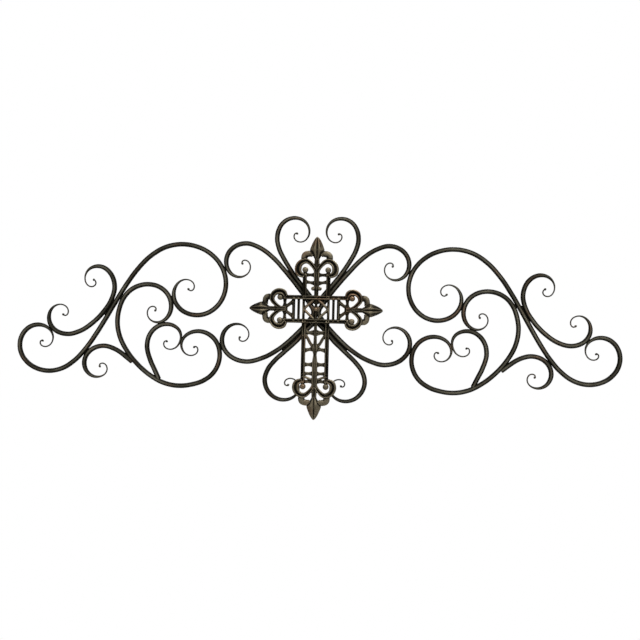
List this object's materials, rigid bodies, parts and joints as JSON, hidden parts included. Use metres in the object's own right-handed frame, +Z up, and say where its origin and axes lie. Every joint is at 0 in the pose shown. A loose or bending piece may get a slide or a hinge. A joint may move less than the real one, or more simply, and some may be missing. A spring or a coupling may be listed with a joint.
{
  "type": "wall cross",
  "caption": "Openwork cast cross with fleur ends, fixed on a wide symmetric spray of bent iron scroll bars that taper into curled tips; hangs flat on a wall.",
  "frame": {"origin": "on the flat back of the top centre scroll's bar, at the foot of its V behind the cross: the point that hangs over a nail or hook", "axes": "+X to the viewer's right along the width, +Y into the wall, +Z up; the front faces -Y"},
  "size_m": [1.072, 0.0175, 0.3594],
  "materials": {
    "blackened_iron": "black-brown iron, rubbed lighter along the ridges",
    "rubbed_cast_iron": "dark casting with bronze rubbed onto the raised parts"
  },
  "bodies": {
    "root": {"left_large_s_scroll": "blackened_iron", "right_large_s_scroll": "blackened_iron", "left_outer_c_scroll": "blackened_iron", "right_outer_c_scroll": "blackened_iron", "left_large_c_scroll": "blackened_iron", "right_large_c_scroll": "blackened_iron", "left_heart_scroll": "blackened_iron", "right_heart_scroll": "blackened_iron", "left_low_scroll": "blackened_iron", "right_low_scroll": "blackened_iron", "left_centre_scroll": "blackened_iron", "right_centre_scroll": "blackened_iron", "top_centre_scroll": "blackened_iron", "bottom_centre_scroll": "blackened_iron", "openwork_cross": "rubbed_cast_iron"}
  },
  "joints": []
}
